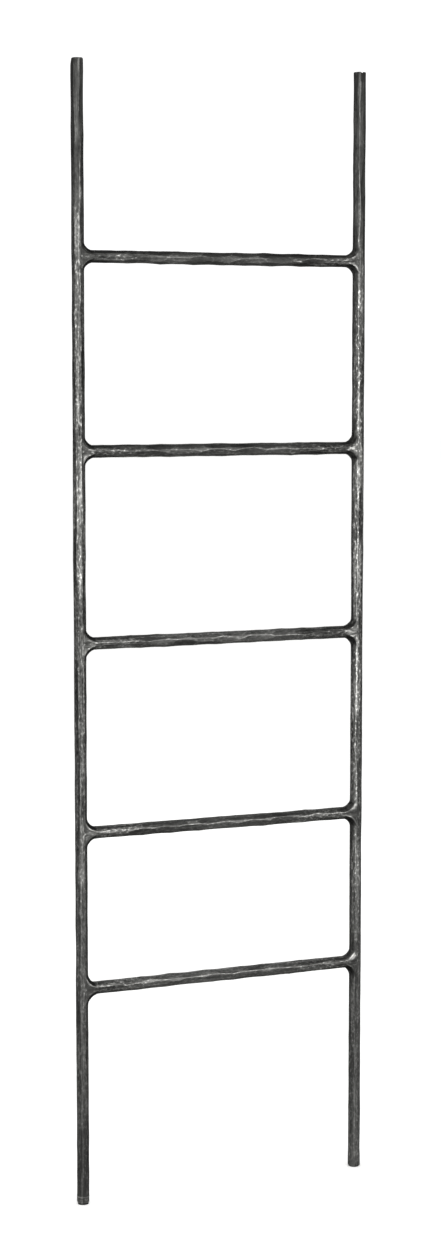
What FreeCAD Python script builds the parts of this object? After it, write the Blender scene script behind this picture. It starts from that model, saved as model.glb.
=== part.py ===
"""Blanket ladder: two forged rails, five forged rungs, and dressed welds at every joint.

The ladder stands upright, in millimetres. X runs along the rungs, Y points back to
the wall, and Z is up. The origin is on the floor, midway between the two rails.
"""
import FreeCAD, Part

import math
import os

from FreeCAD import Vector

# ---- driving sizes ------------------------------------------------------------

# overall layout
ladder_width = 508.0          # outside of one rail to the outside of the other
rung_count = 5
lowest_rung_height = 355.6    # floor to the middle of the lowest rung
first_step = 254.0            # lowest rung to the second one
step = 304.8                  # each step above that
top_reach = 304.8             # highest rung to the tops of the rails

# forged bar: regular octagons, measured across the flats
rail_size = 19.05
rung_size = 19.05
hammer_depth = 0.7            # the deepest that a blow moves a corner inwards
hammer_pitch = 38.0           # length of one hammered facet along a bar
hammer_stray = 0.15           # share of a facet that a blow lands off its place, each way
plain_margin = 5.0            # unhammered bar next to a joint or an end

# ends of the rails
top_bevel = 2.2
foot_bevel = 0.9
foot_flare = 0.5              # how far the forged foot spreads, each way
foot_flare_height = 16.0
foot_taper = 14.0             # height over which the spread foot narrows again

# rung ends and the welds round them
neck_diameter = 14.0
tenon_diameter = 10.0
tenon_length = 11.0
tenon_bevel = 0.8
tenon_clearance = 0.1         # radial, between a tenon and its bore
bore_end_gap = 0.6            # between a tenon's end and the bottom of its bore
web_radius = 15.0             # hollow curve between a rung and a rail
web_reach = 13.2              # how far a web runs along the rung and the rail

# rubber floor pads
pad_diameter = 17.6
pad_height = 2.0
pad_bevel = 0.6
pad_stem_diameter = 6.0
pad_stem_length = 12.0

# rubber wall bumpers
bumper_diameter = 9.0
bumper_height = 3.0
bumper_bevel = 1.0
bumper_stem_diameter = 4.0
bumper_stem_length = 7.0
bumper_drop = 45.0            # top of the rail to the middle of the bumper

stem_clearance = 0.1          # radial, between a rubber stem and its hole
stem_end_gap = 0.8            # between a stem's end and the bottom of its hole

# ---- places worked out from them ----------------------------------------------

rung_heights = [lowest_rung_height]
for number in range(1, rung_count):
    rise = first_step if number == 1 else step
    rung_heights.append(rung_heights[-1] + rise)

ladder_height = rung_heights[-1] + top_reach
rail_x = (ladder_width - rail_size) / 2
rail_face_x = rail_x - rail_size / 2
rung_shoulder_x = rail_face_x - web_reach
web_half_height = rung_size / 2 + web_reach
bumper_z = ladder_height - bumper_drop

CORNERS = 8
HALF_ANGLE = math.pi / CORNERS
UP = Vector(0, 0, 1)
BACK = Vector(0, 1, 0)
ACROSS = Vector(1, 0, 0)


# ---- forged bar ---------------------------------------------------------------

def scatter(a, b, c):
    """A number from 0 to 1 that looks random and is always the same for a, b and c."""
    wave = math.sin(12.9898 * a + 78.233 * b + 37.719 * c) * 43758.5453
    return wave - math.floor(wave)


def octagon(size, place, dents=None):
    """Closed octagon across a bar; place turns (across, deep) into a point."""
    corners = []
    for corner in range(CORNERS):
        radius = size / 2 / math.cos(HALF_ANGLE)
        if dents:
            radius -= dents[corner]
        angle = HALF_ANGLE * (2 * corner + 1)
        corners.append(place(radius * math.cos(angle), radius * math.sin(angle)))
    return Part.makePolygon(corners + corners[:1])


def corner_cut(size):
    """How far the sloping faces of an octagon reach in from its square outline."""
    return size / 2 * (1 - math.tan(HALF_ANGLE))


def hammered_stations(start, end, seed):
    """Places along a hammered stretch, with the depth of the blow at each corner."""
    facets = max(2, round((end - start) / hammer_pitch))
    length = (end - start) / facets
    stations = []
    for number in range(1, facets):
        stray = hammer_stray * length * (2 * scatter(number, CORNERS, seed) - 1)
        dents = [hammer_depth * scatter(number, c, seed) for c in range(CORNERS)]
        stations.append((start + number * length + stray, dents))
    return stations


def bar_stations(plain_spans, seed):
    """Stations of a bar that is plain in some spans and hammered between them."""
    stations = []
    for index, (start, end) in enumerate(plain_spans):
        if index:
            stations += hammered_stations(plain_spans[index - 1][1], start, seed + index)
        stations += [(start, None), (end, None)]
    return stations


# ---- pieces -------------------------------------------------------------------

def rail_blank(x, seed):
    """The forged bar of one rail, with its bevelled top and spread foot."""
    def section(z, size, dents=None):
        return octagon(size, lambda across, deep: Vector(x + across, deep, z), dents)

    foot = pad_height
    spread = rail_size + 2 * foot_flare
    foot_top = foot + foot_flare_height + foot_taper
    sections = [
        section(foot, spread - 2 * foot_bevel),
        section(foot + foot_bevel, spread),
        section(foot + foot_flare_height, spread),
    ]
    joint_half = web_half_height + plain_margin
    bumper_low = bumper_z - bumper_diameter / 2 - plain_margin
    spans = [(foot_top, foot_top + plain_margin)]
    spans += [(z - joint_half, z + joint_half) for z in rung_heights]
    spans += [(bumper_low, ladder_height - top_bevel)]
    for z, dents in bar_stations(spans, seed):
        sections.append(section(z, rail_size, dents))
    sections.append(section(ladder_height, rail_size - 2 * top_bevel))
    return Part.makeLoft(sections, True, True)


def rail(side, seed):
    """One rail, drilled for its rungs, its floor pad and its wall bumper."""
    blank = rail_blank(side * rail_x, seed)
    bore_radius = tenon_diameter / 2 + tenon_clearance
    bore_depth = tenon_length + bore_end_gap
    inward = Vector(side * rail_face_x, 0, 0)
    bores = []
    for z in rung_heights:
        mouth = inward + Vector(0, 0, z)
        bores.append(Part.makeCylinder(bore_radius, bore_depth, mouth, ACROSS * side))
    pad_hole = Part.makeCylinder(
        pad_stem_diameter / 2 + stem_clearance,
        pad_stem_length + stem_end_gap,
        Vector(side * rail_x, 0, pad_height),
        UP,
    )
    bumper_hole = Part.makeCylinder(
        bumper_stem_diameter / 2 + stem_clearance,
        bumper_stem_length + stem_end_gap,
        Vector(side * rail_x, rail_size / 2, bumper_z),
        BACK * -1,
    )
    return blank.cut(bores + [pad_hole, bumper_hole])


def rung(z, seed):
    """One rung: hammered bar, with a neck and a tenon at each end."""
    def section(x, dents):
        return octagon(rung_size, lambda up, deep: Vector(x, deep, z + up), dents)

    shoulder = rung_shoulder_x
    spans = [
        (-shoulder, -shoulder + plain_margin),
        (shoulder - plain_margin, shoulder),
    ]
    sections = [section(x, dents) for x, dents in bar_stations(spans, seed)]
    bar = Part.makeLoft(sections, True, True)
    ends = []
    for side in (-1, 1):
        outward = ACROSS * side
        neck_start = Vector(side * shoulder, 0, z)
        neck = Part.makeCylinder(neck_diameter / 2, web_reach, neck_start, outward)
        root = Vector(side * rail_face_x, 0, z)
        straight = tenon_length - tenon_bevel
        tenon = Part.makeCylinder(tenon_diameter / 2, straight, root, outward)
        tip = Part.makeCone(
            tenon_diameter / 2,
            tenon_diameter / 2 - tenon_bevel,
            tenon_bevel,
            root + outward * straight,
            outward,
        )
        ends += [neck, tenon, tip]
    return bar.multiFuse(ends).removeSplitter()


def weld_web(side, z):
    """The dressed weld at one end of a rung, hollow-curved above and below."""
    slope = corner_cut(rung_size)
    inner = rung_shoulder_x
    outer = rail_face_x + corner_cut(rail_size)
    block = Part.makeBox(
        outer - inner,
        rung_size,
        2 * web_half_height,
        Vector(inner, -rung_size / 2, z - web_half_height),
    )
    curves = []
    for level in (-1, 1):
        middle = Vector(
            rail_face_x - web_radius,
            0,
            z + level * (rung_size / 2 + web_radius),
        )
        curves.append(
            Part.makeCylinder(web_radius, rung_size, middle - BACK * rung_size / 2, BACK)
        )
        for face in (-1, 1):
            start = middle + BACK * face * (rung_size / 2 - slope)
            curves.append(
                Part.makeCone(web_radius, web_radius + slope, slope, start, BACK * face)
            )
    rail_bar = octagon(
        rail_size,
        lambda across, deep: Vector(rail_x + across, deep, z - web_half_height),
    )
    rail_bar = Part.Face(rail_bar).extrude(UP * 2 * web_half_height)
    neck = Part.makeCylinder(
        neck_diameter / 2, rail_x - inner, Vector(inner, 0, z), ACROSS
    )
    web = block.cut(curves + [rail_bar, neck])
    if side < 0:
        web = web.mirror(Vector(0, 0, 0), ACROSS)
    return web


def button(diameter, height, bevel, stem_diameter, stem_length, seat, outward):
    """A bevelled rubber button on a push-in stem; seat is where it meets the bar."""
    straight = Part.makeCylinder(diameter / 2, height - bevel, seat, outward)
    crown = Part.makeCone(
        diameter / 2, diameter / 2 - bevel, bevel, seat + outward * (height - bevel), outward
    )
    stem = Part.makeCylinder(stem_diameter / 2, stem_length, seat, outward * -1)
    return straight.multiFuse([crown, stem]).removeSplitter()


def floor_pad(side):
    """Rubber pad under the foot of one rail."""
    return button(
        pad_diameter, pad_height, pad_bevel, pad_stem_diameter, pad_stem_length,
        Vector(side * rail_x, 0, pad_height), UP * -1,
    )


def wall_bumper(side):
    """Rubber button on the back of one rail, where the ladder leans on the wall."""
    return button(
        bumper_diameter, bumper_height, bumper_bevel,
        bumper_stem_diameter, bumper_stem_length,
        Vector(side * rail_x, rail_size / 2, bumper_z), BACK,
    )


# ---- the ladder ---------------------------------------------------------------

pieces = {}
for hand, side in (("left", -1), ("right", 1)):
    pieces[f"{hand}_rail"] = rail(side, 20 + 10 * side)
    pieces[f"{hand}_foot_pad"] = floor_pad(side)
    pieces[f"{hand}_wall_bumper"] = wall_bumper(side)
for number, z in enumerate(rung_heights, 1):
    pieces[f"rung_{number}"] = rung(z, 40 + 10 * number)
    pieces[f"weld_web_left_{number}"] = weld_web(-1, z)
    pieces[f"weld_web_right_{number}"] = weld_web(1, z)

os.makedirs("parts", exist_ok=True)
for name, shape in pieces.items():
    solids = len(shape.Solids)
    print(f"{name}: {solids} solid, {shape.Volume:.0f} mm3, valid {shape.isValid()}")
    shape.exportStep(f"parts/{name}.step")
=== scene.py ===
# %% [markdown]
# # A hammered blanket ladder
#
# The ladder is made of square steel bar that a smith has knocked to a rough octagon. Every rung
# end is welded to its rail, and the weld is dressed to a smooth hollow curve. All of it is
# blackened, rubbed back with wire wool so that the high spots shine, and waxed.
#
# The construction is finished before this lesson starts. The first cell loads it as a fixed
# frame, so every piece made here goes where the frame says, and takes its sizes from it.

# %% Load the frame
import math

import bmesh
import bpy
import numpy as np
from mathutils import Matrix, Vector, noise


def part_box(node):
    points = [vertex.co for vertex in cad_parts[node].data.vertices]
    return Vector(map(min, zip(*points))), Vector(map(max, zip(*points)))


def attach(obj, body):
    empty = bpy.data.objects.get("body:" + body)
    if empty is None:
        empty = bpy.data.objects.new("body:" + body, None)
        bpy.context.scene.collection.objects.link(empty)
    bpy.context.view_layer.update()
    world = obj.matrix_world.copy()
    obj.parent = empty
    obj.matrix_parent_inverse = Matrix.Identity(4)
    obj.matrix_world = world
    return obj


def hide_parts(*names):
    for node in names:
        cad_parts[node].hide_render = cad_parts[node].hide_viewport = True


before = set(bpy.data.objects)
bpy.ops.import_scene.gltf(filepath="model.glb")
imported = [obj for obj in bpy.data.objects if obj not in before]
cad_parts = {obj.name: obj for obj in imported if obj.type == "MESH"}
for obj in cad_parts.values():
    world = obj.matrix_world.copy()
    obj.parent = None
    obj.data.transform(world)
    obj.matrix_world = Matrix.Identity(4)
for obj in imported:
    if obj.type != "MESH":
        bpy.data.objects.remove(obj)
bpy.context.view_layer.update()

# %% [markdown]
# ## Sizes
#
# Real sizes are easiest to think of in millimetres, while Blender counts in metres, so one
# small value turns one into the other. The bar, the places of the rails and rungs, and the reach
# of the welds are read from the frame's own pieces.

# %% Sizes from the frame
MM = 0.001
HANDS = {"left": -1, "right": 1}
RUNGS = (1, 2, 3, 4, 5)
SPREAD = 0.2 * MM  # a bar that is hammered one way spreads the other way


def middle(frame_piece):
    """The middle of a frame piece's box."""
    low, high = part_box(frame_piece)
    return (low + high) / 2


rung_low, rung_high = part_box("rung_1")
bar = rung_high.y - rung_low.y
half = bar / 2 + SPREAD
rail_low, rail_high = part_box("right_rail")
rail_length = rail_high.z - rail_low.z
rail_x = middle("right_rail").x
rail_face = rail_x - half
rung_z = [middle(f"weld_web_left_{number}").z for number in RUNGS]
rung_length = 2 * rail_face
web_reach = rail_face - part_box("weld_web_right_1")[0].x
print(f"bar {bar / MM:.2f} mm, rails at {rail_x / MM:.1f} mm, web reach {web_reach / MM:.1f} mm")

# %% [markdown]
# ## Hammer blows
#
# A hammer leaves a flat facet that is a little hollow along the bar. Where two facets meet, a
# ridge stands. A texture could fake that, but the ridges also show in the outline of the bar, so
# they are modelled: a plain rod is made with enough rings and sides, and each of its points is
# then moved in or out to the nearest facet.
#
# Eight rows of broad blows make the octagon, each half a step on from the row beside it, so the
# facets end in points. Eight rows of narrow blows knock the corners down, just enough for them
# to catch light. Beside a joint the blows are regular, so that the bar meets its weld cleanly.
# The shade of a blow says how hard it is rubbed later.

# %% Where the blows land
FACES = 8
FACE_TURN = 2 * math.pi / FACES
BLOW_STRAY = 0.35  # share of the pitch that a blow lands off its place
ROW_STRAY = 0.3  # share of the pitch that a whole row starts early
BLOW_DEPTH = 0.40 * MM  # how much deeper one broad blow goes than another
BLOW_TURN = math.radians(9)
CORNER_PITCH = 0.8  # pitch of the narrow blows, as a share of the broad ones'
CORNER_DEPTH = (0.08 * MM, 0.60 * MM)
CORNER_TURN = math.radians(10)
CORNER_SHADE = (0.8, 1.7)  # a broad facet's is from 0 to 1
HOLLOW_STRAY = (0.7, 1.4)  # least and most hollow, as shares of the usual
LEAST_HOLLOW = 0.15  # the share of it that is left beside a joint
CALM = 20 * MM  # nearer to a joint than this, the blows are regular
WILD = 42 * MM  # and further away than this, they stray freely


def wildness(place, joints):
    """From 0 beside a joint to 1 away from it."""
    away = min(abs(place - joint) for joint in joints)
    return min(1.0, max(0.0, (away - CALM) / (WILD - CALM)))


def blows_on(length, joints, habits, pitch, rise, rng):
    """Rows of blows: place along the bar, direction, distance of the flat, hollow and shade."""
    places, leans, extras = zip(*habits)  # place, degrees of lean, and added mm
    blows = []
    for row in range(2 * FACES):
        broad = row % 2 == 0
        step = pitch if broad else pitch * CORNER_PITCH
        place = -step * (0.5 * (row // 2 % 2) + ROW_STRAY * rng.random())
        while place < length + step:
            wild = wildness(place, joints)
            turn = (BLOW_TURN if broad else CORNER_TURN) * rng.uniform(-1, 1)
            if broad:
                flat = half - BLOW_DEPTH * rng.random() * wild
            else:
                flat = half / math.cos(FACE_TURN / 2) - rng.uniform(*CORNER_DEPTH)
            flat += np.interp(place, places, extras) * MM
            lean = math.radians(np.interp(place, places, leans))
            direction = row * FACE_TURN / 2 + lean + turn * wild
            usual = 8 * rise / pitch ** 2  # it rises by the rise in half a pitch
            hollow = usual * rng.uniform(*HOLLOW_STRAY) * max(wild, LEAST_HOLLOW)
            shade = rng.random() if broad else rng.uniform(*CORNER_SHADE)
            blows.append((place, direction, flat, hollow, shade))
            place += step * (1 + BLOW_STRAY * rng.uniform(-1, 1))
    return np.array(blows)


trial_blows = blows_on(
    300 * MM, [0], [(0, 0, 0), (1, 0, 0)], 50 * MM, 0.5 * MM, np.random.default_rng(1))
print("a bar of 300 mm takes", len(trial_blows), "blows")

# %% [markdown]
# ### The surface that the blows leave
#
# Seen from the middle of the bar, a point lies on the nearest of all the facets that face its
# way. The second nearest is looked up as well: where both are equally near, there is a ridge.

# %% The nearest facet
BLOW_REACH = 120 * MM  # further away along the bar than this, a blow changes nothing
FACING = 0.5  # cosine of the widest angle at which a facet still counts
FAR_OUT = 1.0  # a radius far beyond any facet, to start from


def facet_surface(along, around, blows):
    """Radius of the hammered bar at some points, the gap to the next facet, and the shade."""
    radius = np.full(len(along), FAR_OUT)
    second = np.full(len(along), FAR_OUT)
    shades = np.zeros(len(along))
    for place, direction, flat, hollow, shade in blows:
        facing = np.cos(around - direction)
        near = (facing > FACING) & (np.abs(along - place) < BLOW_REACH)
        if not near.any():
            continue
        here = along[near]
        distance = (flat + hollow * (here - place) ** 2 / 2) / facing[near]
        old = radius[near]
        second[near] = np.minimum(second[near], np.maximum(old, distance))
        shades[near] = np.where(distance < old, shade, shades[near])
        radius[near] = np.minimum(old, distance)
    return radius, second - radius, shades


trial_turns = np.arange(FACES) * FACE_TURN
trial_radius = facet_surface(np.full(FACES, 150 * MM), trial_turns, trial_blows)[0]
print("half way its facets lie at", np.round(trial_radius / MM, 2), "mm")

# %% [markdown]
# ## From a plain rod to forged bar
#
# The rod starts as a cylinder, and its long edges are cut into rings. Its two end caps are inset
# in steps and closed to a middle point, so that they can be uneven as well.

# %% A plain rod
SIDES = 72
RING = 2.0 * MM
CAP_STEPS = 6


def rod(length):
    """A closed cylinder along Z from 0 to length, with rings, sides and stepped caps."""
    bm = bmesh.new()
    bmesh.ops.create_cone(
        bm, cap_ends=True, segments=SIDES, radius1=half, radius2=half, depth=length)
    bmesh.ops.translate(bm, verts=bm.verts, vec=(0, 0, length / 2))
    long_edges = [edge for edge in bm.edges if edge.calc_length() > length / 2]
    bmesh.ops.subdivide_edges(bm, edges=long_edges, cuts=round(length / RING))
    for cap in [face for face in bm.faces if len(face.verts) > 4]:
        for _ in range(CAP_STEPS):
            bmesh.ops.inset_region(bm, faces=[cap], thickness=half / (CAP_STEPS + 1))
        bmesh.ops.poke(bm, faces=[cap])
    return bm


trial_rod = rod(300 * MM)
print("a plain rod of 300 mm has", len(trial_rod.faces), "faces")

# %% [markdown]
# The operators make the rod, but a facet moves thousands of its points at once. So the points
# are read into an array, worked out together, and written back.

# %% Points as arrays
def points_of(bm):
    """All the points of a bmesh as one array."""
    return np.array([vert.co for vert in bm.verts])


def move_points(bm, places):
    """Puts every point of a bmesh at its new place."""
    for vert, place in zip(bm.verts, places):
        vert.co = place


def rod_points(bm):
    """Each point of a rod as its height, its direction, and its share of the full radius."""
    x, y, along = points_of(bm).T
    return along, np.arctan2(y, x), np.hypot(x, y) / half


def set_rod_points(bm, along, around, radius):
    """Moves the points of a rod to that height and radius."""
    move_points(bm, np.stack([radius * np.cos(around), radius * np.sin(around), along], axis=1))


print("and", len(points_of(trial_rod)), "points to move")
trial_rod.free()

# %% [markdown]
# No facet is quite flat and no ridge quite sharp, because the scale flakes off unevenly and the
# wool rounds what it rubs. The ridge is softened by the gap between the two nearest facets, and
# smooth random bumps are added.

# %% The finished surface of a bar
RIDGE_SOFTNESS = 0.03 * MM
UNEVEN = 0.08 * MM
UNEVEN_SIZE = 9 * MM


def unevenness(places, size, seed):
    """Smooth random numbers from about -1 to 1 at some places, with bumps of about that size."""
    shift = Vector((seed * 3.7, seed * 1.3, seed * 5.1))
    return np.array([noise.noise(Vector(place) / size + shift) for place in places])


def bar_surface(along, around, blows, seed):
    """Radius of a finished bar, softened and uneven, and its facets' shade."""
    radius, ridge_gap, shades = facet_surface(along, around, blows)
    radius = radius - RIDGE_SOFTNESS * np.log1p(np.exp(-ridge_gap / RIDGE_SOFTNESS))
    on_rod = np.stack([half * np.cos(around), half * np.sin(around), along], axis=1)
    return radius + UNEVEN * unevenness(on_rod, UNEVEN_SIZE, seed), shades


trial_radius = bar_surface(np.full(FACES, 150 * MM), trial_turns, trial_blows, 1)[0]
print("and finished at", np.round(trial_radius / MM, 2), "mm")

# %% [markdown]
# ## Marks on every point
#
# The finish follows the hammering, so a texture alone can't give it. Up to four numbers are kept
# on every point, and the material reads them: `wear` says how far the point stands out from its
# neighbours, where the wool takes the black off first, the rubbing mark how hard its facet was
# rubbed, with painted highlights and painted shade added in, `calm` how much of the scratches and
# flecks it lacks, and `turned`, on a weld, how far the scratches have turned from the rail's way
# to the rung's.

# %% Finish a piece
def wear_of(bm):
    """How far each point stands out from the average of its neighbours, in metres."""
    bm.normal_update()
    bm.verts.index_update()
    places = points_of(bm)
    normals = np.array([vert.normal for vert in bm.verts])
    joined = np.array([[vert.index for vert in edge.verts] for edge in bm.edges])
    total = np.zeros_like(places)
    count = np.zeros(len(places))
    for a, b in ((0, 1), (1, 0)):
        np.add.at(total, joined[:, a], places[joined[:, b]])
        np.add.at(count, joined[:, a], 1)
    average = total / count[:, None]
    return ((places - average) * normals).sum(axis=1)


def finish_piece(bm, name, marks, nodes, material):
    """Turns a bmesh into a piece of the ladder that stands for its frame pieces."""
    bmesh.ops.recalc_face_normals(bm, faces=bm.faces)
    for mark, amounts in {"wear": wear_of(bm) / MM, **marks}.items():
        layer = bm.verts.layers.float.new(mark)
        for vert, amount in zip(bm.verts, amounts):
            vert[layer] = amount
    for face in bm.faces:
        face.smooth = True
    mesh = bpy.data.meshes.new(name)
    bm.to_mesh(mesh)
    bm.free()
    mesh.materials.append(material)
    piece = bpy.data.objects.new(name, mesh)
    bpy.context.scene.collection.objects.link(piece)
    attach(piece, "root")
    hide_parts(*nodes)
    print(name, "has", len(mesh.polygons), "faces")


# %% [markdown]
# ## Finishes
#
# Colours are picked as sRGB hex values, as in any paint program, and one function turns them
# into the linear values that Blender's shaders count in. One more adds a node with its settings
# and its links.

# %% Colours and nodes
def colour(hex_value, alpha=1.0):
    """An sRGB hex value as linear red, green, blue and alpha."""
    parts = [int(hex_value[i:i + 2], 16) / 255 for i in (1, 3, 5)]
    linear = [p / 12.92 if p <= 0.04045 else ((p + 0.055) / 1.055) ** 2.4 for p in parts]
    return (*linear, alpha)


def node(tree, kind, settings=None, stops=(), **inputs):
    """Adds a node, its colour ramp's stops, and its inputs: plain values or sockets to link."""
    new = tree.nodes.new(kind)
    for name, value in (settings or {}).items():
        setattr(new, name, value)
    for number, (place, shade) in enumerate(stops):
        if number >= len(new.color_ramp.elements):
            new.color_ramp.elements.new(place)
        new.color_ramp.elements[number].position = place
        new.color_ramp.elements[number].color = colour(shade)
    for name, value in inputs.items():
        key = int(name[1:]) if name[1:].isdigit() else name.replace("_", " ")
        if isinstance(value, bpy.types.NodeSocket):
            tree.links.new(value, new.inputs[key])
        else:
            new.inputs[key].default_value = value
    return new


def new_material(name):
    """An empty material with its tree, its shader and the object coordinates."""
    material = bpy.data.materials.new(name)
    material.use_nodes = True
    tree = material.node_tree
    tree.nodes.clear()
    shader = node(tree, "ShaderNodeBsdfPrincipled")
    node(tree, "ShaderNodeOutputMaterial", Surface=shader.outputs["BSDF"])
    places = node(tree, "ShaderNodeTexCoord").outputs["Object"]
    return material, tree, shader, places


print("the steel's middle grey is", [round(part, 3) for part in colour("#646462")])

# %% [markdown]
# ### Blackened steel, rubbed back and waxed
#
# The smith heats the bar, brushes on a blackening, and rubs it back with wire wool along its
# length. What the eye sees is a grey-black skin with long fine scratches in it, bare bright steel
# on the ridges, and bright flecks where the wool caught the high spots of the scale.
#
# All these marks are noise, drawn out along the bar. Real scratches and pits are a tenth of a
# millimetre wide and wouldn't show, so they are drawn as coarse as they need to be. A weld has
# the noise drawn out both ways, mixed by `turned`.

# %% Noise along a bar
PATTERNS = {  # size across the bar, times longer along it, detail and roughness
    "long scratches": (2.3 * MM, 24, 1.0, 0.5),
    "short scratches": (2.0 * MM, 7, 3.0, 0.6),
    "flecks": (1.8 * MM, 2, 2.0, 0.55),
    "patches": (45 * MM, 1, 1.0, 0.5),
}
NOISE_SHARE = 0.6  # a patch of noise is about this share of the noise's own unit


def drawn_noise(tree, places, ways, size, length, detail, roughness):
    """Cloudy noise in patches of about that size, and that many times longer along each way."""
    patterns = []
    for way in ways:
        stretch = [1.0, 1.0, 1.0]
        stretch["XYZ".index(way)] = 1 / length
        drawn = node(tree, "ShaderNodeMapping", Vector=places, Scale=stretch)
        patterns.append(node(
            tree, "ShaderNodeTexNoise", Vector=drawn.outputs["Vector"], Scale=NOISE_SHARE / size,
            Detail=detail, Roughness=roughness).outputs["Fac"])
    if len(patterns) == 1:
        return patterns[0]
    turned = node(tree, "ShaderNodeAttribute", {"attribute_name": "turned"}).outputs["Fac"]
    return node(
        tree, "ShaderNodeMix", {"data_type": "FLOAT"}, _0=turned, _2=patterns[0],
        _3=patterns[1]).outputs[0]


print("patterns:", ", ".join(PATTERNS))

# %% [markdown]
# How bare a point is goes from 0, under all the black, to 1, on clean steel. It is a sum of
# layers: as the value of a layer goes from low to high, it adds from least to most. The layers
# are the ridges' wear, the rubbing of the facet with its painted highlights and painted shade,
# patches, and the marks of the wool, which `calm` weakens. The harder a facet was rubbed, the
# brighter its flecks.

# %% How bare the steel is
def layered(tree, layers):
    """The sum of layers, each a value, its low and high, and the least and most that it adds."""
    total = 0.0
    for value, low, high, least, most in layers:
        layer = node(
            tree, "ShaderNodeMapRange", Value=value, From_Min=low, From_Max=high, To_Min=least,
            To_Max=most).outputs["Result"]
        total = node(tree, "ShaderNodeMath", {"operation": "ADD"}, _0=total, _1=layer).outputs[0]
    return total


def bareness(tree, wear, rub_and_painted_light, grain, long_scratches, short_scratches, flecks, patches):
    """How bare each point is, from 0 to 1."""
    brightest = layered(tree, [(rub_and_painted_light, 0.35, 0.65, 0.10, 0.55)])
    marks = layered(tree, [
        (long_scratches, 0.34, 0.66, -0.15, 0.15),
        (short_scratches, 0.34, 0.66, -0.15, 0.15),
        (flecks, 0.54, 0.67, 0.0, brightest),
        (flecks, 0.34, 0.46, -0.17, 0.0),
    ])
    rubbed = layered(tree, [
        (wear, 0.03, 0.16, 0.0, 0.34),
        # rubbing, together with the painted highlights and painted shade that this mark carries
        (rub_and_painted_light, 0.0, 1.5, 0.0, 1.05),
        (patches, 0.35, 0.65, -0.07, 0.07),
    ])
    return node(
        tree, "ShaderNodeMath", {"operation": "MULTIPLY_ADD", "use_clamp": True}, _0=marks,
        _1=grain, _2=rubbed).outputs[0]


print("bareness adds up layers of", ", ".join(["wear", "rub_and_painted_light", *PATTERNS]))

# %% [markdown]
# It is all metal, so the metallic value is 1, and only the colour and the roughness follow how
# bare it is. Two bump nodes let the scratches and flecks catch the light.

# %% Hammered steel
STEEL_STOPS = ((0.0, "#343433"), (0.35, "#646462"), (0.7, "#a6a6a3"), (1.0, "#f2f1ed"))
SKIN_ROUGHNESS = 0.52
BARE_ROUGHNESS = 0.32
SCRATCH_DEPTH = 0.10 * MM
FLECK_DEPTH = 0.17 * MM
BUMP_STRENGTH = 0.6


def hammered_steel(name, ways):
    """Blackened, rubbed steel whose scratches run one way, or turn from one way to another."""
    material, tree, shader, places = new_material(name)
    wear, rub_and_painted_light, calm = [
        node(tree, "ShaderNodeAttribute", {"attribute_name": mark}).outputs["Fac"]
        for mark in ("wear", "rub_and_painted_light", "calm")]
    grain = node(
        tree, "ShaderNodeMath", {"operation": "SUBTRACT", "use_clamp": True}, _0=1.0,
        _1=calm).outputs[0]
    patterns = [drawn_noise(tree, places, ways, *pattern) for pattern in PATTERNS.values()]
    bare = bareness(tree, wear, rub_and_painted_light, grain, *patterns)

    ramp = node(tree, "ShaderNodeValToRGB", stops=STEEL_STOPS, Fac=bare)
    roughness = node(
        tree, "ShaderNodeMath", {"operation": "MULTIPLY_ADD"}, _0=bare,
        _1=BARE_ROUGHNESS - SKIN_ROUGHNESS, _2=SKIN_ROUGHNESS)
    strength = node(
        tree, "ShaderNodeMath", {"operation": "MULTIPLY"}, _0=grain, _1=BUMP_STRENGTH).outputs[0]
    scratched = node(
        tree, "ShaderNodeBump", Height=patterns[1], Distance=SCRATCH_DEPTH, Strength=strength)
    flecked = node(
        tree, "ShaderNodeBump", Height=patterns[2], Distance=FLECK_DEPTH, Strength=strength,
        Normal=scratched.outputs["Normal"])
    tree.links.new(ramp.outputs["Color"], shader.inputs["Base Color"])
    tree.links.new(roughness.outputs[0], shader.inputs["Roughness"])
    tree.links.new(flecked.outputs["Normal"], shader.inputs["Normal"])
    shader.inputs["Metallic"].default_value = 1.0
    return material


rail_steel = hammered_steel("Blackened hammered steel, rail", "Z")
rung_steel = hammered_steel("Blackened hammered steel, rung", "X")
weld_steel = hammered_steel("Blackened dressed weld", "ZX")
print("made", [material.name for material in (rail_steel, rung_steel, weld_steel)])

# %% [markdown]
# ### Black rubber
#
# Moulded rubber is nearly black, hardly reflects, and carries a fine matt grain from its mould
# with a little dust in it. Its index of refraction is a little over that of most plastics.

# %% Rubber
RUBBER_STOPS = ((0.35, "#1a1a1a"), (0.75, "#2c2b2a"))
RUBBER_GRAIN = 0.9 * MM  # finer in a real mould, where it wouldn't show
RUBBER_GRAIN_DEPTH = 0.06 * MM


def moulded_rubber(name):
    """Matt moulded rubber with a fine grain and a trace of dust."""
    material, tree, shader, places = new_material(name)
    grain = node(
        tree, "ShaderNodeTexNoise", Vector=places, Scale=1 / RUBBER_GRAIN, Detail=3.0,
        Roughness=0.6).outputs["Fac"]
    ramp = node(tree, "ShaderNodeValToRGB", stops=RUBBER_STOPS, Fac=grain)
    bump = node(
        tree, "ShaderNodeBump", Height=grain, Distance=RUBBER_GRAIN_DEPTH, Strength=0.5)
    tree.links.new(ramp.outputs["Color"], shader.inputs["Base Color"])
    tree.links.new(bump.outputs["Normal"], shader.inputs["Normal"])
    shader.inputs["Roughness"].default_value = 0.72
    shader.inputs["IOR"].default_value = 1.52
    return material


rubber = moulded_rubber("Moulded black rubber")
print("made", rubber.name)

# %% [markdown]
# ## The rails
#
# Each rail is one bar from its foot pad to its top. The left one is twisted by some 15 degrees
# half way up, as a bar is when the smith turns it a little between heats. The blows are kept,
# because the welds have to follow the bars that they run out on.

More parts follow.
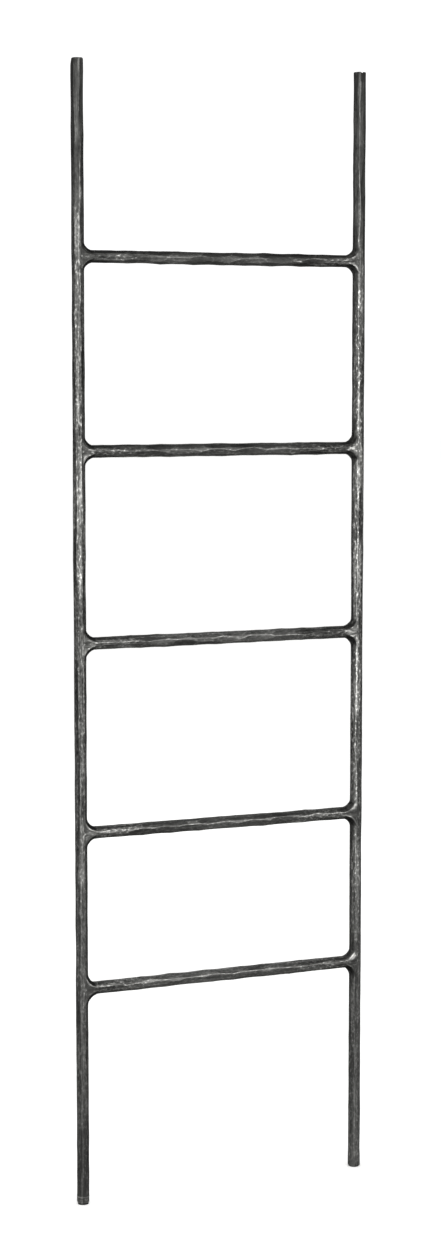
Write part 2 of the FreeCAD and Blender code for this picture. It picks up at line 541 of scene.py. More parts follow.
# %% Blows on the rails
RAIL_HABITS = {  # height, how far the facets lean there, and added thickness
    "left": ((0.0, -3, -0.25), (0.8, -6, -0.35), (1.05, -20, 0.1), (1.83, -21, 0.1)),
    "right": ((0.0, -2, -0.25), (1.0, 0, -0.4), (1.2, 1, 0.0), (1.83, 1, -0.15)),
}
RAIL_PITCH = 70 * MM  # from one broad blow to the next
RAIL_RISE = 0.45 * MM  # how much a facet rises from its middle to its ends
RAIL_SEEDS = {"left": 39, "right": 41}

rail_joints = [z - rail_low.z for z in rung_z]
rail_blows = {
    hand: blows_on(
        rail_length, rail_joints, RAIL_HABITS[hand], RAIL_PITCH, RAIL_RISE,
        np.random.default_rng(RAIL_SEEDS[hand]))
    for hand in HANDS}
print("blows on the rails:", {hand: len(blows) for hand, blows in rail_blows.items()})

# %% [markdown]
# ### How the rails are rubbed, and a painted highlight
#
# Nobody rubs a ladder evenly. The tops are rubbed least. On the right rail a highlight is painted
# along the ridge that faces the camera. The wool doesn't reach into the corners beside the
# rungs. Scratches and flecks are thickest in the middle of the rails. By its shade, one facet
# takes the wool better than the next.

# %% Rubbing the rails, and painting a highlight on one ridge
RUB_AT = {  # height and how hard the rail was rubbed there
    "left": (
        (0.011, 0.70), (0.013, 0.50), (0.3, 0.50), (0.75, 0.45), (0.92, 0.51), (1.1, 0.46),
        (1.4, 0.49), (1.52, 0.52), (1.6, 0.49), (1.7, 0.38), (1.83, 0.32)),
    "right": (
        (0.0, 0.60), (0.3, 0.58), (0.75, 0.62), (1.1, 0.60), (1.4, 0.54), (1.65, 0.34),
        (1.83, 0.28)),
}
RUB_STRAY = 0.16  # how much one facet's rubbing differs from the next
# Painted highlight: how much lighter the right rail's ridge that faces the camera is, by height.
RIDGE_PAINTED_HIGHLIGHTS = {  # height and how much more the ridge towards the room was rubbed
    "left": ((0.0, 0.0), (1.83, 0.0)),
    "right": ((0.3, 0.0), (0.7, 0.06), (1.3, 0.17), (1.55, 0.15), (1.75, 0.0)),
}
# Direction of the ridge that faces the camera, where the highlight is painted, and its width.
HIGHLIGHT_RIDGE_TURN = math.radians(-112)
HIGHLIGHT_RIDGE_WIDTH = math.radians(12)
CORNER_BLACK = 0.36  # how much less a corner beside a rung is rubbed
CORNER_REACH = 40 * MM
CORNER_FACING = 0.5  # cosine from which a face begins to look into the corner
FACING_RUN = 0.35  # and how much more it takes to look fully into it
CALM_AT = (  # height and how much of the scratches and flecks a rail lacks there
    (0.0, 0.50), (0.35, 0.40), (0.7, 0.0), (1.35, 0.0), (1.55, 0.40), (1.83, 0.50))


def smooth_step(value):
    """0 up to 0, 1 from 1 on, and a smooth rise between."""
    value = np.clip(value, 0, 1)
    return value * value * (3 - 2 * value)


def looked_up(place, table):
    """The amount at some places, from a table of places and amounts."""
    places, amounts = zip(*table)
    return np.interp(place, places, amounts)


def in_corner(along, joints, facing):
    """From 0 to 1, how hard it is to reach points that face a rung, or a rail, near a joint."""
    away = np.min([abs(along - joint) for joint in joints], axis=0)
    turned_in = smooth_step((facing - CORNER_FACING) / FACING_RUN)
    return np.exp(-(away / CORNER_REACH) ** 2) * turned_in


def on_highlit_ridge(around):
    """How near points are, from 0 to 1, to the ridge with the painted highlight."""
    return np.exp(-((around - HIGHLIGHT_RIDGE_TURN) / HIGHLIGHT_RIDGE_WIDTH) ** 2)


def rail_marks(hand, side, along, around, shades):
    """Rubbing and painted highlight at some points of a rail, and how calm they are."""
    rub_and_painted_light = looked_up(along, RUB_AT[hand]) + RUB_STRAY * (shades - 0.5)
    # Painted highlight along the ridge that faces the camera.
    rub_and_painted_light += looked_up(along, RIDGE_PAINTED_HIGHLIGHTS[hand]) * on_highlit_ridge(around)
    rub_and_painted_light = rub_and_painted_light - CORNER_BLACK * in_corner(along, rail_joints, -side * np.cos(around))
    return {"rub_and_painted_light": rub_and_painted_light, "calm": looked_up(along, CALM_AT)}


print("1.5 m up the right rail is rubbed", round(looked_up(1.5, RUB_AT["right"]), 2))

# %% [markdown]
# ### Tops and feet
#
# The smith sawed the tops square and filed their edges, and spread the feet a little when the
# bars were set on them. A raised line runs round the left foot where it was drawn out. The rings
# of the rod crowd together towards the rounded edges, and are drawn in along a quarter circle.

# %% Shape both ends of a rail
END_CROWD = 30 * MM  # stretch at an end in which the rings crowd together
FOOT_SPREADS = {"left": 0.1 * MM, "right": 0.5 * MM}
FOOT_SPREAD_HEIGHT = 16 * MM
FOOT_TAPER = 14 * MM
FOOT_LINE = 11 * MM
FOOT_LINE_PROUD = {"left": 0.3 * MM, "right": 0.0}
FOOT_ROUNDS = {"left": 2.6 * MM, "right": 0.4 * MM}
TOP_ROUNDS = {"left": 2.4 * MM, "right": 0.9 * MM}
TOP_DRAWN_IN = {"left": 1.3 * MM, "right": 0.0}  # how far the outer side leans in at the top
TOP_DRAWN_HEIGHT = 12 * MM


def crowd(distance):
    """Moves a ring that is this far from an end closer to it."""
    return np.where(distance < END_CROWD, distance ** 2 / END_CROWD, distance)


def rounded_end(distance, radius):
    """How much a bar narrows at this distance from an end with a rounded edge."""
    inside = np.clip(distance / radius, 0, 1)
    return radius * (1 - np.sqrt(1 - (1 - inside) ** 2))


def shape_ends(hand, side, along, around, radius):
    """The radius of a rail with its foot spread and rounded, and its top filed."""
    below = rail_length - along
    spread = smooth_step((FOOT_SPREAD_HEIGHT + FOOT_TAPER - along) / FOOT_TAPER)
    radius = radius + FOOT_SPREADS[hand] * spread
    radius += FOOT_LINE_PROUD[hand] * np.exp(-((along - FOOT_LINE) / MM) ** 2)
    radius -= rounded_end(below, TOP_ROUNDS[hand]) + rounded_end(along, FOOT_ROUNDS[hand])
    near_top = smooth_step(1 - below / TOP_DRAWN_HEIGHT)
    return radius - TOP_DRAWN_IN[hand] * near_top * np.clip(side * np.cos(around), 0, 1)


print("a ring 10 mm from an end moves to", round(float(crowd(10 * MM)) / MM, 1), "mm from it")

# %% [markdown]
# The saw left a nick in the right top. It starts at the front, runs back at an angle, and gets
# shallower on its way. It lowers the points of the cap, and the ones just below a little less.

# %% Make the rails
NICK_DEPTHS = {"left": 0.0, "right": 1.9 * MM}
NICK_START = (-0.5 * MM, -9.7 * MM)
NICK_WAY = (0.44, 0.90)
NICK_LENGTH = 15 * MM
NICK_WIDTH = 1.4 * MM
NICK_FADE = 6 * MM  # height over which the points below the cap follow it


def nick_depth(hand, x, y):
    """How deep the nick is at some points of a rail's top."""
    back = (x - NICK_START[0]) * NICK_WAY[0] + (y - NICK_START[1]) * NICK_WAY[1]
    aside = (x - NICK_START[0]) * NICK_WAY[1] - (y - NICK_START[1]) * NICK_WAY[0]
    depth = NICK_DEPTHS[hand] * np.clip(1 - back / NICK_LENGTH, 0, 1)
    return depth * np.exp(-(aside / NICK_WIDTH) ** 2)


def make_rail(hand, side):
    """One rail, hammered all along, with a filed top and a spread foot."""
    bm = rod(rail_length)
    along, around, share = rod_points(bm)
    along = rail_length - crowd(rail_length - along)
    along = crowd(along)
    radius, shades = bar_surface(along, around, rail_blows[hand], RAIL_SEEDS[hand])
    radius = shape_ends(hand, side, along, around, radius) * share
    fade = np.clip(1 - (rail_length - along) / NICK_FADE, 0, 1)
    along -= fade * nick_depth(hand, radius * np.cos(around), radius * np.sin(around))
    set_rod_points(bm, along, around, radius)
    bmesh.ops.translate(bm, verts=bm.verts, vec=(side * rail_x, 0, rail_low.z))
    marks = rail_marks(hand, side, along, around, shades)
    finish_piece(bm, f"{hand}_rail_forged", marks, [f"{hand}_rail"], rail_steel)


for hand, side in HANDS.items():
    make_rail(hand, side)

# %% [markdown]
# ## The rungs
#
# A rung is the same bar, laid across, with shorter and deeper facets. The higher rungs have their
# ridges turned further to the front. A highlight is painted along the ridge that faces the camera,
# most on the low rungs, and painted shade darkens the tops of the higher rungs. A rung's middle
# has fewer scratches and flecks than its ends.

# %% Blows, rubbing, painted highlights and painted shade on the rungs
RUNG_PITCH = 50 * MM
RUNG_RISE = 0.95 * MM
RUNG_EXTRA = -0.2  # added thickness in mm, less than none
RUNG_TURNS = {1: 2, 2: 8, 3: 12, 4: 13, 5: 13}  # degrees that a rung's ridges turn forwards
RUNG_SEEDS = {1: 61, 2: 62, 3: 63, 4: 64, 5: 65}
RUNG_RUBS = {1: 0.61, 2: 0.58, 3: 0.56, 4: 0.53, 5: 0.44}
RUNG_STRAY = 0.24  # on the rungs one facet's rubbing differs more from the next
# Painted highlight: how much lighter each rung's ridge that faces the camera is painted.
RUNG_RIDGE_PAINTED_HIGHLIGHTS = {1: 0.16, 2: 0.12, 3: 0.04, 4: 0.05, 5: 0.0}
# Painted shade: how much darker the top facets of each rung are painted.
RUNG_TOPS_PAINTED_SHADE = {1: 0.0, 2: 0.06, 3: 0.04, 4: 0.18, 5: 0.26}  # how much less tops are rubbed
SHADED_TOP_FACING = 0.3  # cosine from which a face begins to count as the top
RUNG_CALM_AT = (  # way from a rail, and how much of the scratches a rung lacks there
    (0.02, 0.05), (0.06, 0.10), (0.12, 0.58))

rung_ends = [0, rung_length]
rung_blows = {
    number: blows_on(
        rung_length, rung_ends, [(end, RUNG_TURNS[number], RUNG_EXTRA) for end in rung_ends],
        RUNG_PITCH, RUNG_RISE, np.random.default_rng(RUNG_SEEDS[number]))
    for number in RUNGS}


def rung_marks(number, along, around, shades):
    """Rubbing, painted highlight and painted shade at some points of a rung, and how calm."""
    rub_and_painted_light = RUNG_RUBS[number] + RUNG_STRAY * (shades - 0.5)
    # Painted highlight on the ridge facing the camera, and painted shade on the top.
    rub_and_painted_light += RUNG_RIDGE_PAINTED_HIGHLIGHTS[number] * on_highlit_ridge(around - math.radians(RUNG_TURNS[number]))
    rub_and_painted_light -= RUNG_TOPS_PAINTED_SHADE[number] * smooth_step((-np.cos(around) - SHADED_TOP_FACING) / FACING_RUN)
    rub_and_painted_light = rub_and_painted_light - CORNER_BLACK * in_corner(along, rung_ends, abs(np.cos(around)))
    away = np.min([abs(along - end) for end in rung_ends], axis=0)
    return {"rub_and_painted_light": rub_and_painted_light, "calm": looked_up(away, RUNG_CALM_AT)}


print("blows on the rungs:", {number: len(blows) for number, blows in rung_blows.items()})

# %% [markdown]
# Inside its weld a rung narrows to a neck, as the frame's rung does, so the weld is the only
# surface to be seen there. The rod is made upright, so it is then turned over to lie along X.

# %% Make the rungs
NECK = 7 * MM
NECK_RUN = 5 * MM


def make_rung(number):
    """One rung from rail to rail, hammered between its welds and necked inside them."""
    bm = rod(rung_length)
    along, around, share = rod_points(bm)
    radius, shades = bar_surface(along, around, rung_blows[number], RUNG_SEEDS[number])
    inside = np.maximum(web_reach - along, along - (rung_length - web_reach))
    sink = np.clip(inside / NECK_RUN, 0, 1)
    radius = radius * (1 - sink) + NECK * sink
    set_rod_points(bm, along, around, radius * share)
    bmesh.ops.translate(bm, verts=bm.verts, vec=(0, 0, -rail_face))
    bmesh.ops.rotate(
        bm, verts=bm.verts, cent=(0, 0, 0), matrix=Matrix.Rotation(math.pi / 2, 3, "Y"))
    bmesh.ops.translate(bm, verts=bm.verts, vec=(0, 0, rung_z[number - 1]))
    marks = rung_marks(number, along, around, shades)
    finish_piece(
        bm, f"rung_{number}_forged", marks, [f"rung_{number}"], rung_steel)


for number in RUNGS:
    make_rung(number)

# %% [markdown]
# ## The dressed welds
#
# At each rung end the smith fills the corner with weld and grinds it to a smooth hollow, above
# and below the rung. The octagon's narrow facets run round this hollow from the rung into the
# rail, and the broad front faces of rail and rung meet in a small flat.
#
# That shape is the octagon's own edge, spun a quarter turn about the middle of the hollow. The
# points of the two flats are stretched inwards, to the middle of the rung and under the front of
# the rail.

# %% Spin the outline of one web
NARROW = half * math.tan(FACE_TURN / 2)  # half the width of one facet
SLOPE = half - NARROW  # how far a slanting facet reaches round the corner
WEB_RADIUS = 15 * MM
WEB_TOP = half + WEB_RADIUS
WEB_CUTS = 7  # into each side of the outline
WEB_STEPS = 22
UNDER_RAIL = 5.5 * MM
TINY = 0.001 * MM


def spin_outline(bm):
    """The octagon's outer edge, spun from the rung (x = radius) up to the rail (x = 0)."""
    outline = (
        (-half, 0), (-half, NARROW), (-NARROW, half), (NARROW, half), (half, NARROW), (half, 0))
    corners = [bm.verts.new((WEB_RADIUS, y, z)) for y, z in outline]
    edges = [bm.edges.new(pair) for pair in zip(corners, corners[1:])]
    bmesh.ops.subdivide_edges(bm, edges=edges, cuts=WEB_CUTS)
    bmesh.ops.spin(
        bm, geom=list(bm.verts) + list(bm.edges), cent=(WEB_RADIUS, 0, WEB_TOP),
        axis=(0, 1, 0), angle=math.pi / 2, steps=WEB_STEPS, use_merge=False)


def stretch_flats(bm):
    """Stretches both flats to the middle of the rung and to just under the front of the rail."""
    for vert in bm.verts:
        if abs(vert.co.y) < half - TINY:
            continue
        in_x = max(WEB_RADIUS - vert.co.x, TINY)
        in_z = max(WEB_TOP - vert.co.z, TINY)
        reach = math.hypot(in_x, in_z)
        ridge = WEB_RADIUS + SLOPE
        share = (reach - ridge) / NARROW
        limit = min(WEB_TOP * reach / in_z, (ridge + UNDER_RAIL) * reach / in_x)
        scale = (ridge + share * (limit - ridge)) / reach
        vert.co.x = WEB_RADIUS - (WEB_RADIUS - vert.co.x) * scale
        vert.co.z = WEB_TOP - (WEB_TOP - vert.co.z) * scale


print(f"half a facet is {NARROW / MM:.2f} mm wide, and a web is {WEB_TOP / MM:.1f} mm high")

# %% [markdown]
# The strip then runs on for a little way, along the rung and up the rail, where it will sink
# into the bar. A mirror makes the lower hollow, and the open edges inside the rail and inside the
# rung are bridged and filled, so that the web is a closed solid.

# %% Close one web
WEB_RUN_OUT = 6 * MM
RUN_OUT_RINGS = 5


def grow_end(bm, axis, end):
    """Runs one open end of the strip on along the bar, in a few rings."""
    for _ in range(RUN_OUT_RINGS):
        rim = [
            edge for edge in bm.edges
            if all(abs(vert.co[axis] - end) < TINY for vert in edge.verts)]
        grown = bmesh.ops.extrude_edge_only(bm, edges=rim)["geom"]
        fresh = [item for item in grown if isinstance(item, bmesh.types.BMVert)]
        shift = Vector((0, 0, 0))
        shift[axis] = WEB_RUN_OUT / RUN_OUT_RINGS
        bmesh.ops.translate(bm, verts=fresh, vec=shift)
        end += WEB_RUN_OUT / RUN_OUT_RINGS


def close_web(bm):
    """Mirrors the strip below the rung, and closes it inside the rail and inside the rung."""
    bmesh.ops.mirror(
        bm, geom=list(bm.verts) + list(bm.edges) + list(bm.faces), axis="Z", merge_dist=TINY)
    top = WEB_TOP + WEB_RUN_OUT
    inner = [
        edge for edge in bm.edges
        if edge.is_boundary
        and all(vert.co.x < -SLOPE + TINY for vert in edge.verts)
        and not all(abs(abs(vert.co.z) - top) < TINY for vert in edge.verts)]
    bmesh.ops.bridge_loops(bm, edges=inner)
    bmesh.ops.holes_fill(bm, edges=[edge for edge in bm.edges if edge.is_boundary], sides=0)
    bmesh.ops.recalc_face_normals(bm, faces=bm.faces)


def plain_web():
    """One closed web, in the corner's own frame: x from the rail's face, z from the rung."""
    bm = bmesh.new()
    spin_outline(bm)
    stretch_flats(bm)
    grow_end(bm, 0, WEB_RADIUS)
    grow_end(bm, 2, WEB_TOP)
    close_web(bm)
    return bm


trial = plain_web()
open_edges = sum(not edge.is_manifold for edge in trial.edges)
print("a web has", len(trial.faces), "faces and", open_edges, "open edges")
trial.free()

# %% [markdown]
# ### Every hollow is ground by hand
#
# So every web takes its own reach along the rung and up the rail, and its flats are dished a
# little, which leaves the ridges round them proud. On two of the webs the upper ridge was ground
# round instead.

# %% Shape the hollows
HOLLOWS = {  # mm along the rung and the rail, above and below rungs 1 to 5
    "left": (
        ((12, 16), (18, 18)), ((15, 15.5), (14, 15)), ((15.7, 14.5), (15.7, 15.3)),
        ((14.2, 14), (15.5, 14.5)), ((13.6, 12.6), (15.4, 12.5))),
    "right": (
        ((13, 13), (12.8, 16.5)), ((14.6, 13.6), (15.6, 15)), ((16, 13), (15.2, 16.2)),
        ((14, 15), (15, 14)), ((15.6, 13.6), (14.5, 15.5))),
}
WEB_DISH = 0.30 * MM
WEB_DISH_EDGE = 3 * MM  # stretch inside the ridge in which the dish gets its depth
FLAT_SLACK = 0.4 * MM  # points this much under the flat still count as flat
ROUND_DEPTHS = {("right", 1): 1.0 * MM, ("right", 2): 0.8 * MM}
ROUND_OVER = 7 * MM  # how far in from its ridge such a web is ground round


def hollow_shape(bm, hand, number):
    """Points of a web with its own hollows, how far past its two edges, and in from its ridge."""
    x, y, z = points_of(bm).T
    ridge_gap = np.hypot(WEB_RADIUS - x, WEB_TOP - abs(z)) - WEB_RADIUS - SLOPE
    on_flat = abs(y) > half - FLAT_SLACK
    depth = WEB_DISH * smooth_step(ridge_gap / WEB_DISH_EDGE) * on_flat
    rounded = smooth_step(z / bar) * ROUND_DEPTHS.get((hand, number), 0)
    inside = 1 - smooth_step(ridge_gap / ROUND_OVER)
    depth += rounded * np.where(ridge_gap > 0, inside, 1 + ridge_gap / SLOPE)
    y = y - np.sign(y) * depth
    past_rail = abs(z) - WEB_TOP
    past_rung = x - WEB_RADIUS
    above, below = HOLLOWS[hand][number - 1]
    upper = smooth_step(z / bar + 0.5)
    reach_x = (below[0] + (above[0] - below[0]) * upper) * MM / WEB_RADIUS
    reach_z = (below[1] + (above[1] - below[1]) * upper) * MM / WEB_RADIUS
    x = np.where(x > 0, x * reach_x, x)
    z = np.where(abs(z) > half, np.sign(z) * (half + (abs(z) - half) * reach_z), z)
    return np.stack([x, y, z], axis=1), past_rail, past_rung, ridge_gap


print("hollows for", {hand: len(hollows) for hand, hollows in HOLLOWS.items()}, "webs")

# %% [markdown]
# ### How the welds are rubbed, and their painted highlights
#
# The slanting sides of a weld stay black, on three of the left webs also a stretch of the flat
# above the rung. Every web has its own bright spots, mostly along the ridges: polish where a hand
# or the wool passed often, and painted highlights, strongest on the upper hollows of right webs 1
# and 2 and in the middle of right web 4.

# %% Rubbing and painted highlights on the webs
WEB_RUB = {"left": 0.46, "right": 0.56}
WEB_BLOTCH = 12 * MM  # stretches of a web that were rubbed a little more or less
WEB_BLOTCH_RUB = 0.2
WEB_BLACK = {"left": 0.55, "right": 0.42}  # how much less its slanting sides are rubbed
BLACK_EDGE = 0.8  # mm, half the stretch in which the black ends
BLACK_REACHES = {("left", 3): 1.8, ("left", 4): 2.6, ("left", 5): 2.4}  # mm over the flat
BLACK_RISE = 6  # mm above the middle of the rung, where it has its full reach
POLISH_AND_HIGHLIGHT_GRAIN = 4 * MM
POLISH_AND_HIGHLIGHT_STRAY = 0.5
# Polish along the ridges, and painted highlights, the brightest on right webs 1, 2 and 4.
POLISH_AND_PAINTED_HIGHLIGHTS = {  # mm up from the rung, mm in from the ridge, both spreads, amount
    ("left", 1): ((9, 1.0, 10, 0.9, 1.0),),
    ("left", 2): ((0, 5, 6, 3, 0.25), (9, 1.0, 10, 0.9, 0.9)),
    ("left", 3): ((6, 1.5, 4, 1.2, 0.6), (-8, 1.2, 6, 1.0, 0.3)),
    ("left", 4): ((-6, 3, 6, 3, 0.35), (6, 2.5, 4, 1.0, 0.4)),
    ("left", 5): ((0, 7, 3, 4, 0.25),),
    ("right", 1): ((11, 2.2, 7, 3.4, 1.8), (-6, 1.2, 6, 1.0, 0.3)),
    ("right", 2): ((12, 1.8, 7, 2.6, 1.0), (-9, 1.2, 9, 1.0, 0.6)),
    ("right", 3): ((0, 4, 14, 5, 0.35), (-8, 1.2, 7, 1.2, 0.4), (8, 1.2, 7, 1.2, 0.3)),
    ("right", 4): ((1, 5.8, 6, 3.2, 0.7),),
    ("right", 5): ((-9, 1.4, 8, 1.4, 0.7), (7, 1.2, 7, 1.0, 0.4)),
}


def web_rub_and_highlights(hand, number, places, ridge_gap, up, seed):
    """A web's rubbing and painted highlights, by the mm in from its ridge and up from its rung."""
    rub_and_painted_light = WEB_RUB[hand] + WEB_BLOTCH_RUB * unevenness(places, WEB_BLOTCH, seed)
    black_reach = BLACK_REACHES.get((hand, number), 0) * smooth_step(up / BLACK_RISE)
    past_black = (ridge_gap - black_reach + BLACK_EDGE) / (2 * BLACK_EDGE)
    rub_and_painted_light -= WEB_BLACK[hand] * (1 - smooth_step(past_black))
    # Polished spots and painted highlights.
    for height, inside, tall, wide, amount in POLISH_AND_PAINTED_HIGHLIGHTS[hand, number]:
        spot = np.exp(-((up - height) / tall) ** 2 - ((ridge_gap - inside) / wide) ** 2)
        rub_and_painted_light += amount * spot * (1 + POLISH_AND_HIGHLIGHT_STRAY * unevenness(places, POLISH_AND_HIGHLIGHT_GRAIN, seed + 1))
    return rub_and_painted_light


print("polished spots:", sum(len(spots) for spots in POLISH_AND_PAINTED_HIGHLIGHTS.values()))

# %% [markdown]
# ### Blend each weld into its bars
#
# Towards its edges a web takes on the surface and the rubbing of the bar that it lies on, and at
# the very edge it dips just under it, so no seam shows, as on a blended weld.

# %% Lay a web on its bars
WEB_PROUD = 0.12 * MM  # how far a web stands above its bar, until it dips
WEB_DIP = 0.30 * MM
RAIL_BLEND = 10 * MM  # stretch in which a web takes on the surface of its rail
RUNG_BLEND = 5 * MM  # and of its rung


def follow_bar(past, blend, along, across, up, blows, seed):
    """Scales that bring points onto a bar, how much each is on it, and the bar there."""
    around = np.arctan2(up, across)
    radius, shades = bar_surface(along, around, blows, seed)
    radius += WEB_PROUD - (WEB_PROUD + WEB_DIP) * smooth_step(past / WEB_RUN_OUT)
    weight = smooth_step((past + blend) / blend)
    return 1 + weight * (radius / np.hypot(across, up) - 1), weight, around, shades


def lay_on_rail(hand, side, x, y, z, past_rail):
    """New x and y of a web's points, how much each is on the rail, and the rail's marks."""
    across = x - side * rail_x
    along = z - rail_low.z
    scale, weight, around, shades = follow_bar(
        past_rail, RAIL_BLEND, along, across, y, rail_blows[hand], RAIL_SEEDS[hand])
    marks = rail_marks(hand, side, along, around, shades)
    return side * rail_x + across * scale, y * scale, weight, marks


def lay_on_rung(number, x, y, z, past_rung):
    """New y and z of a web's points, how much each is on the rung, and the rung's marks."""
    down = rung_z[number - 1] - z
    along = x + rail_face
    scale, weight, around, shades = follow_bar(
        past_rung, RUNG_BLEND, along, down, y, rung_blows[number], RUNG_SEEDS[number])
    marks = rung_marks(number, along, around, shades)
    return y * scale, rung_z[number - 1] - down * scale, weight, marks


print(f"a web stands {WEB_PROUD / MM} mm above its bars and ends {WEB_DIP / MM} mm under them")

# %% [markdown]
# The grinder leaves a weld smoother than the bar, so a web has fewer scratches and flecks, but
# five of them were dressed more roughly. smooth_vert softens the edges that the spin left sharp.

# %% Make the webs
WEB_UNEVEN = 0.14 * MM
WEB_CALM = 0.45  # how much of the bar's scratches and flecks a web lacks
ROUGH_WEBS = {  # and what the roughly dressed ones lack
    ("left", 3): 0.15, ("left", 4): 0.2, ("right", 3): 0.0, ("right", 4): 0.3, ("right", 5): 0.2}
WEB_SEEDS = {"left": 80, "right": 100}
TURN_RUN = 15 * MM  # stretch in which the scratches turn


def make_web(hand, side, number):
    """One dressed weld with its own hollows, blended into rail and rung."""
    seed = WEB_SEEDS[hand] + number
    bm = plain_web()
    bmesh.ops.smooth_vert(
        bm, verts=bm.verts, factor=0.5, use_axis_x=True, use_axis_y=True, use_axis_z=True)
    places, past_rail, past_rung, ridge_gap = hollow_shape(bm, hand, number)
    move_points(bm, places)
    bm.normal_update()
    normals = np.array([vert.normal for vert in bm.verts])
    bump = WEB_PROUD + WEB_UNEVEN * unevenness(places, UNEVEN_SIZE, seed)
    x, y, z = (places + normals * bump[:, None]).T
    x = side * (rail_face - x)
    z = z + rung_z[number - 1]
    x, y, on_rail, marks_there = lay_on_rail(hand, side, x, y, z, past_rail)
    y, z, on_rung, marks_here = lay_on_rung(number, x, y, z, past_rung)
    places = np.stack([x, y, z], axis=1)
    move_points(bm, places)

    up = z - rung_z[number - 1]
    marks = {
        "rub_and_painted_light": web_rub_and_highlights(hand, number, places, ridge_gap / MM, up / MM, seed + 1),
        "calm": np.full(len(x), ROUGH_WEBS.get((hand, number), WEB_CALM)),
    }
    for weight, bar_marks in ((on_rail, marks_there), (on_rung, marks_here)):
        for mark in marks:
            marks[mark] = marks[mark] + weight * (bar_marks[mark] - marks[mark])
    from_rail = rail_face - side * x
    from_rung = abs(up) - half
    marks["turned"] = smooth_step((from_rail - from_rung) / TURN_RUN + 0.5)
    finish_piece(
        bm, f"weld_web_{hand}_{number}_dressed", marks, [f"weld_web_{hand}_{number}"],
        weld_steel)


for hand, side in HANDS.items():
    for number in RUNGS:
        make_web(hand, side, number)

# %% [markdown]
# ## Foot pads and wall bumpers
#
# A small rubber pad with a stem is pressed into each foot, and a smaller bumper into the back of
# each rail near its top, so that the ladder marks neither floor nor wall. Each is a round
# moulding, so its half section is spun once round. Only the head shows, and its edge is round.

# %% Spin a rubber button
SPIN_STEPS = 40
RIM_STEPS = 6
RIM_FLAT = 0.4 * MM  # between the dish and the round edge


def button_section(radius, height, round_edge, dish):
    """A button's half section, with its face at 0, slightly dished, and its rim rounded."""
    points = [(0, dish), (radius * 0.4, dish * 0.8), (radius - round_edge - RIM_FLAT, 0)]
    for step in range(RIM_STEPS + 1):
        turn = math.pi / 2 * step / RIM_STEPS
        points.append((
            radius - round_edge * (1 - math.sin(turn)), round_edge * (1 - math.cos(turn))))
    return points + [(radius, height * 0.75), (radius, height), (0, height)]


def button(radius, height, round_edge, dish):
    """The half section of a button, spun round Z into a closed solid."""
    bm = bmesh.new()
    section = button_section(radius, height, round_edge, dish)
    corners = [bm.verts.new((across, 0, up)) for across, up in section]
    edges = [bm.edges.new(pair) for pair in zip(corners, corners[1:])]
    bmesh.ops.spin(
        bm, geom=corners + edges, cent=(0, 0, 0), axis=(0, 0, 1), angle=2 * math.pi,
        steps=SPIN_STEPS, use_merge=True)
    bmesh.ops.remove_doubles(bm, verts=bm.verts, dist=TINY)
    bmesh.ops.recalc_face_normals(bm, faces=bm.faces)
    return bm


print("a button's half section has", len(button_section(1, 1, 0.1, 0)), "points")

# %% [markdown]
# The pad keeps the way it was spun, with its face down. The bumper is turned to face the wall,
# and goes a little way into the bar, because hammering left the bar's back uneven.

# %% Make the pads and bumpers
PAD_EDGE = (0.6 * MM, 0.4 * MM)  # round of its rim and depth of its dish
BUMPER_EDGE = (1.1 * MM, 0.3 * MM)
BUMPER_SUNK = 0.5 * MM

for hand in HANDS:
    low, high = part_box(f"{hand}_foot_pad")
    pad = button((high.x - low.x) / 2, rail_low.z - low.z, *PAD_EDGE)
    at = ((low.x + high.x) / 2, (low.y + high.y) / 2, low.z)
    bmesh.ops.translate(pad, verts=pad.verts, vec=at)
    finish_piece(pad, f"{hand}_foot_pad_moulded", {}, [f"{hand}_foot_pad"], rubber)

    low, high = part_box(f"{hand}_wall_bumper")
    bumper = button((high.x - low.x) / 2, high.y - bar / 2 + BUMPER_SUNK, *BUMPER_EDGE)
    bmesh.ops.rotate(
        bumper, verts=bumper.verts, cent=(0, 0, 0), matrix=Matrix.Rotation(math.pi / 2, 3, "X"))
    at = ((low.x + high.x) / 2, high.y, (low.z + high.z) / 2)
    bmesh.ops.translate(bumper, verts=bumper.verts, vec=at)
    finish_piece(
        bumper, f"{hand}_wall_bumper_moulded", {}, [f"{hand}_wall_bumper"], rubber)

# %% [markdown]
# ## Camera
#
# The photograph was taken from the left of the ladder and a little above its middle, with a long
# lens. The place and the lens were worked out from where both rails and all five rungs fall in
# the picture. The longer side of the picture sees the 36 mm of the sensor.

# %% Camera
CAMERA_PLACE = (-1.5628, -3.6538, 1.3496)
CAMERA_WAY = Vector((0.3908, 0.9149, -0.1016))

camera = bpy.data.objects.new("camera", bpy.data.cameras.new("camera"))
bpy.context.scene.collection.objects.link(camera)
camera.location = CAMERA_PLACE
camera.rotation_euler = CAMERA_WAY.to_track_quat("-Z", "Y").to_euler()
camera.data.lens = 71.44
camera.data.sensor_width = 36
bpy.context.scene.camera = camera
print("camera at", [round(value, 3) for value in camera.location])

# %% [markdown]
# ## Light
#
# Dark metal shows what it reflects. A large soft box stands where the camera does, and weaker
# ones to its left and right, so facets that look down or away stay dark. One behind gives the
# back its form, and one overhead lights the tops of the low rungs.

# %% Soft boxes
AIM = Vector((0, 0, 0.95))
SOFT_BOXES = {  # degrees round from the front, metres away, up, wide and tall, power
    "key": (-23, 3.4, 1.2, 2.4, 2.2, 2.6),
    "left": (-70, 3.4, 1.2, 2.2, 2.2, 0.75),
    "right": (16, 3.4, 1.2, 2.1, 2.2, 1.25),
    "back": (165, 3.4, 1.2, 2.0, 2.2, 0.6),
    "top": (-23, 0.75, 2.9, 2.0, 0.9, 1.0),
}


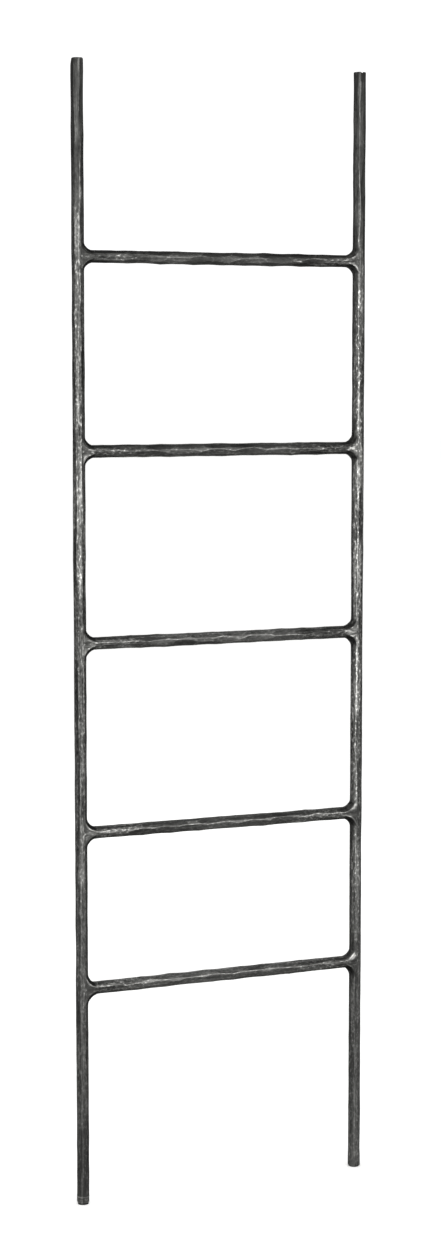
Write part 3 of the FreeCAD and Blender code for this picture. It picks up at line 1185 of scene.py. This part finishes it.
def soft_box(name, turn, distance, height, width, tall, brightness):
    """A rectangle of light that looks at the ladder, and that the camera doesn't see."""
    light = bpy.data.lights.new(name, "AREA")
    light.shape = "RECTANGLE"
    light.size = width
    light.size_y = tall
    light.energy = brightness * width * tall * math.pi
    lamp = bpy.data.objects.new(name, light)
    bpy.context.scene.collection.objects.link(lamp)
    angle = math.radians(turn)
    lamp.location = (distance * math.sin(angle), -distance * math.cos(angle), height)
    lamp.rotation_euler = (AIM - lamp.location).to_track_quat("-Z", "Y").to_euler()
    lamp.visible_camera = False


for name, settings in SOFT_BOXES.items():
    soft_box(name, *settings)
print("lights:", ", ".join(SOFT_BOXES))

# %% [markdown]
# ## Room and floor
#
# The room is white to the camera and to the floor, and dim in the reflections, as a dark studio
# with a lit white floor is. The floor is painted nearly white, and the metal doesn't reflect it.

# %% Room and floor
ROOM_WHITE = 1.14
ROOM_DIMMED = -0.92  # added to it in the reflections

world = bpy.data.worlds.new("studio")
world.use_nodes = True
bpy.context.scene.world = world
world.node_tree.nodes.clear()
ray = node(world.node_tree, "ShaderNodeLightPath")
strength = node(
    world.node_tree, "ShaderNodeMath", {"operation": "MULTIPLY_ADD"},
    _0=ray.outputs["Is Glossy Ray"], _1=ROOM_DIMMED, _2=ROOM_WHITE)
background = node(
    world.node_tree, "ShaderNodeBackground", Color=colour("#ffffff"), Strength=strength.outputs[0])
node(world.node_tree, "ShaderNodeOutputWorld", Surface=background.outputs["Background"])

floor_paint, _, floor_shader, _ = new_material("Pale painted floor")
floor_shader.inputs["Base Color"].default_value = colour("#fbfbfa")
floor_shader.inputs["Roughness"].default_value = 0.9
floor_bm = bmesh.new()
bmesh.ops.create_grid(floor_bm, x_segments=8, y_segments=8, size=40)
floor_mesh = bpy.data.meshes.new("floor")
floor_bm.to_mesh(floor_mesh)
floor_bm.free()
floor_mesh.materials.append(floor_paint)
floor = bpy.data.objects.new("floor", floor_mesh)
bpy.context.scene.collection.objects.link(floor)
floor.visible_glossy = False
bpy.context.scene.view_settings.view_transform = "Standard"
print("a floor of", [round(side) for side in floor.dimensions[:2]], "m")
